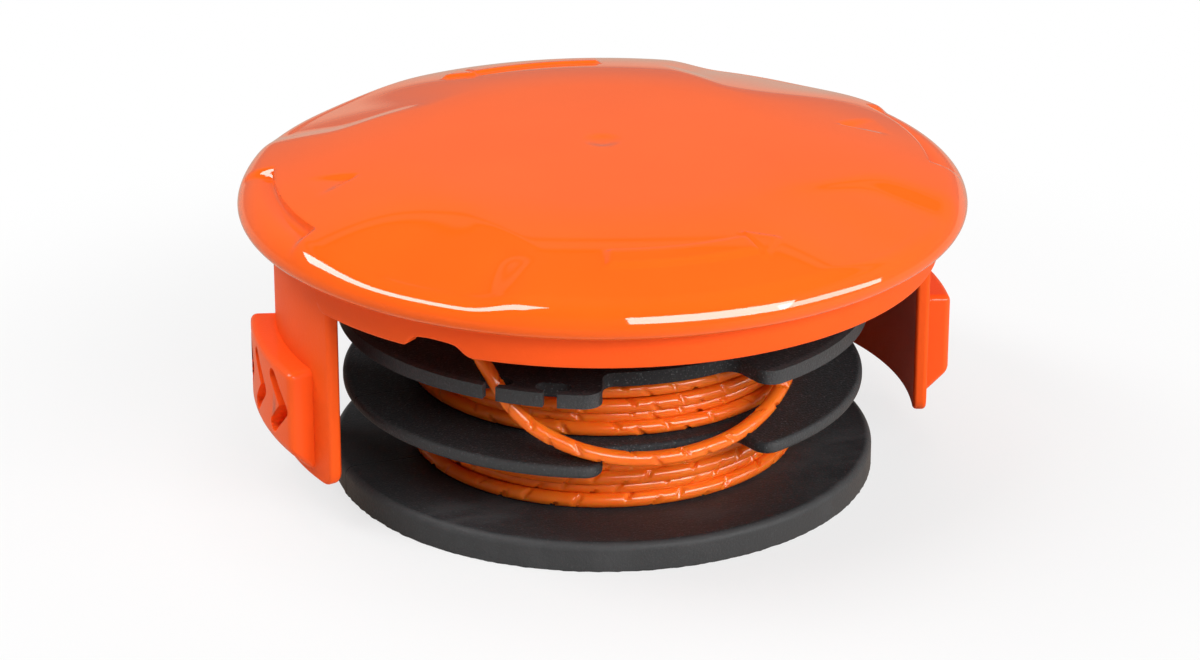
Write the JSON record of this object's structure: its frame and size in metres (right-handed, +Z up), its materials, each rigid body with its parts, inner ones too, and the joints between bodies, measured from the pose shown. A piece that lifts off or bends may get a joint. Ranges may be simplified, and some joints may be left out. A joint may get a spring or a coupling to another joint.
{
  "type": "trimmer line spool with cap",
  "caption": "Round moulded line spool wound with notched nylon cutting line, its free end parked in a flange slot, under a domed clip-on cap with latch arms.",
  "frame": {"origin": "middle of the base flange's underside, on the hub's axis", "axes": "+Z up along the hub's axis from the base to the cap, +X towards one latch arm of the cap"},
  "size_m": [0.0846, 0.0846, 0.04],
  "materials": {
    "spool_black": "matt, lightly grained moulding",
    "nylon_line": "translucent, glossy, notched",
    "cap_orange": "high gloss top, satin sides"
  },
  "bodies": {
    "root": {"spool_hub": "spool_black", "spool_base": "spool_black", "spool_mid_flange": "spool_black", "spool_top_flange": "spool_black", "lower_winding": "nylon_line", "upper_winding": "nylon_line", "line_tail": "nylon_line", "cap": "cap_orange"}
  },
  "joints": []
}
